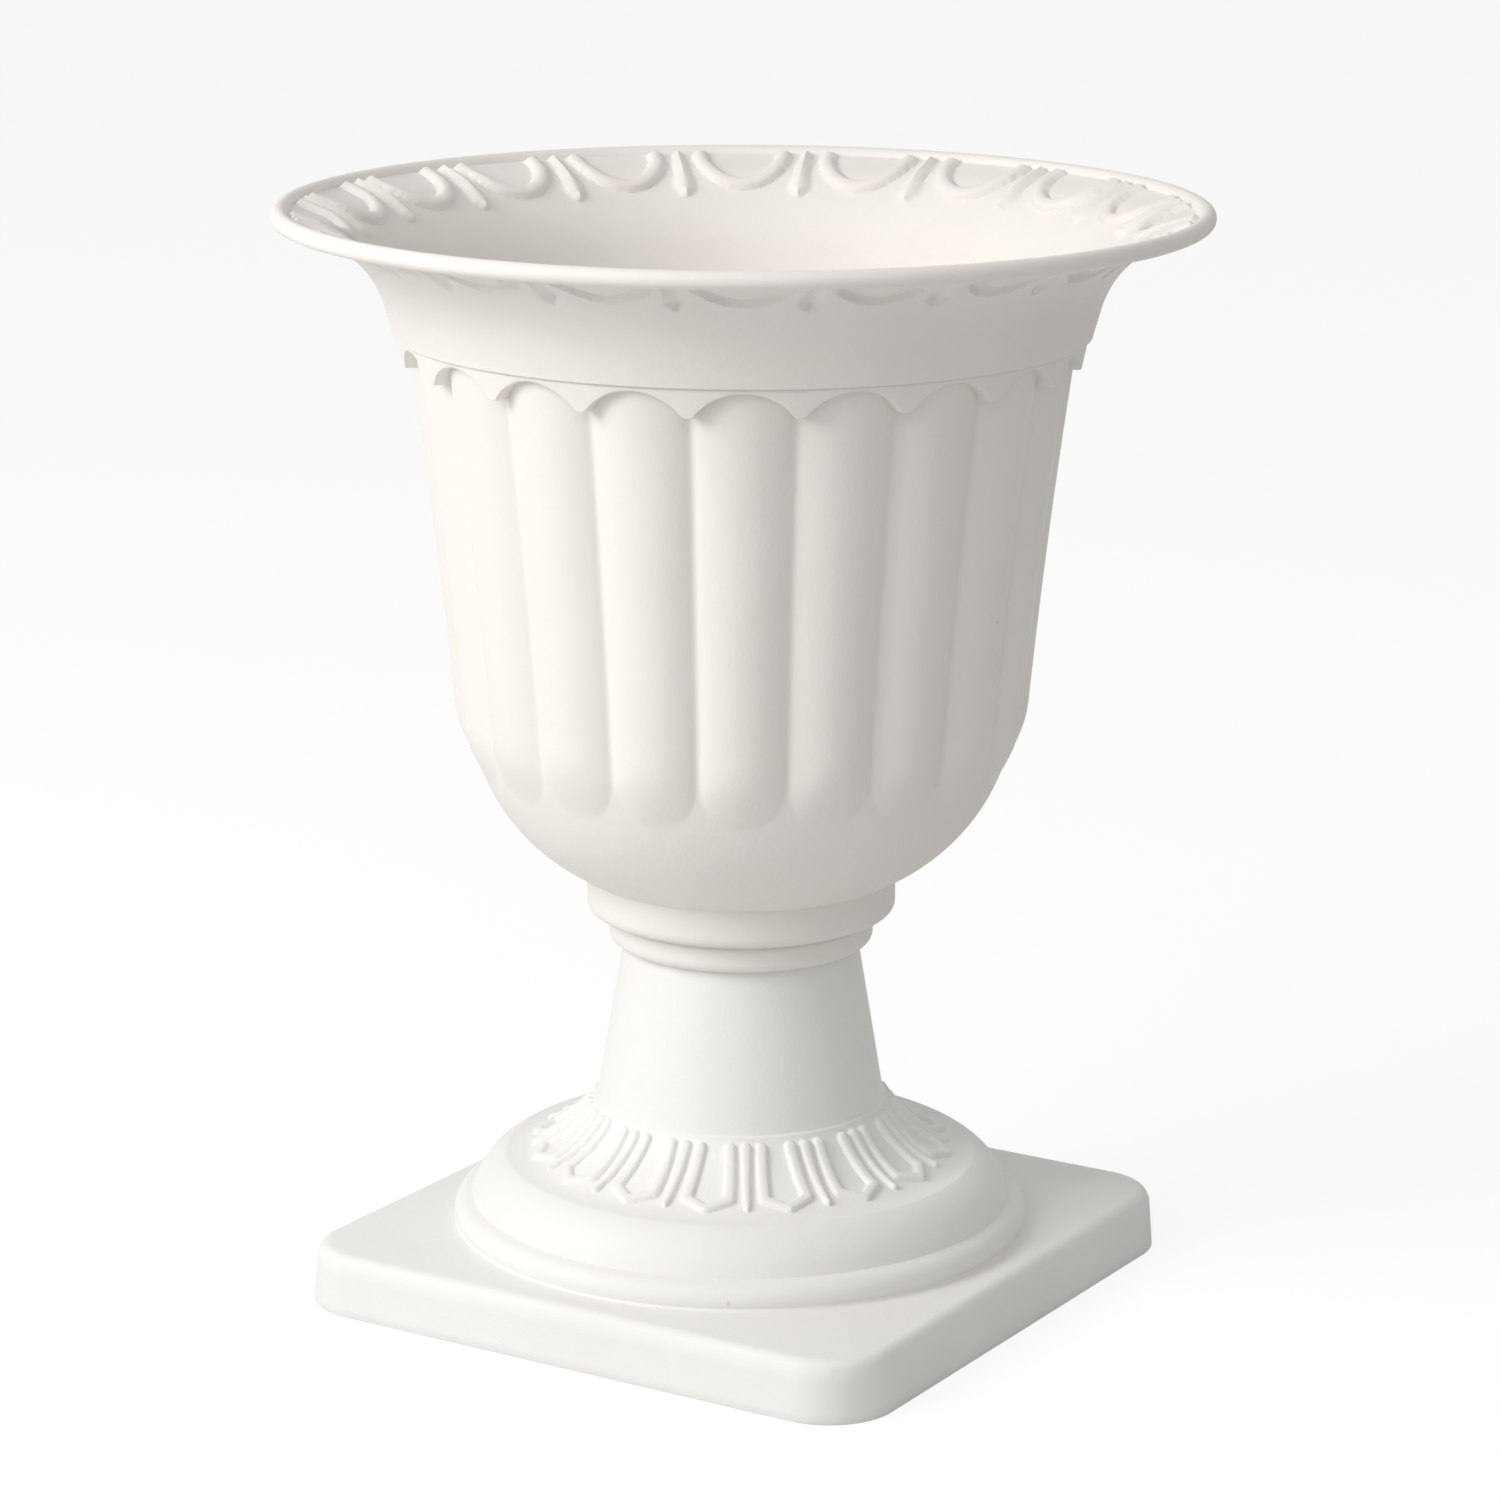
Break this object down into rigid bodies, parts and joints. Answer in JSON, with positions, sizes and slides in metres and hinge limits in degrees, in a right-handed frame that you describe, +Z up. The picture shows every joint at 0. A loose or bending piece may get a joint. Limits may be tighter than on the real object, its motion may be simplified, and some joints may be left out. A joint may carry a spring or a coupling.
{
  "type": "urn planter",
  "caption": "Urn planter: wide flared bowl with lobed sides, bolted to a hollow round pedestal on a square plinth; drain plugs in its floor.",
  "frame": {"origin": "on the floor, under the bowl's axis, at the middle of the square plinth's footprint", "axes": "+Z up along the bowl's axis; X and Y square to the plinth's sides"},
  "size_m": [0.382, 0.382, 0.457],
  "materials": {
    "pedestal_resin": "matte moulded, fine grain",
    "bowl_resin": "matte moulded, fine grain",
    "zinc_steel": "zinc plated",
    "seal_rubber": "matte",
    "plug_rubber": "matte"
  },
  "bodies": {
    "foot": {"pedestal": "pedestal_resin"},
    "bowl_unit": {"bowl": "bowl_resin", "tie_bolt": "zinc_steel", "head_washer": "zinc_steel", "seal_washer": "seal_rubber"},
    "lower_washer": {"stem_washer": "zinc_steel"},
    "nut": {"wing_nut": "zinc_steel"},
    "plug_1": {"drain_plug_1": "plug_rubber"},
    "plug_2": {"drain_plug_2": "plug_rubber"},
    "plug_3": {"drain_plug_3": "plug_rubber"}
  },
  "joints": [
    {"name": "bowl_turn", "type": "hinge", "parent": "foot", "child": "bowl_unit", "pos_m": [0, 0, 0.1755], "axis": [0, 0, 1], "continuous": true},
    {"name": "washer_drop", "type": "slide", "parent": "bowl_unit", "child": "lower_washer", "axis": [0, 0, -1], "range_m": [0, 0.0151]},
    {"name": "nut_turn", "type": "hinge", "parent": "lower_washer", "child": "nut", "pos_m": [0, 0, 0.165], "axis": [0, 0, -1], "range_deg": [0, 4320]},
    {"name": "plug_1_pull", "type": "slide", "parent": "bowl_unit", "child": "plug_1", "axis": [0, 0, 1], "range_m": [0, 0.06]},
    {"name": "plug_2_pull", "type": "slide", "parent": "bowl_unit", "child": "plug_2", "axis": [0, 0, 1], "range_m": [0, 0.06]},
    {"name": "plug_3_pull", "type": "slide", "parent": "bowl_unit", "child": "plug_3", "axis": [0, 0, 1], "range_m": [0, 0.06]}
  ],
  "couplings": [
    {"joint": "washer_drop", "follows": "nut_turn", "m_per_rad": 0.00019894}
  ]
}
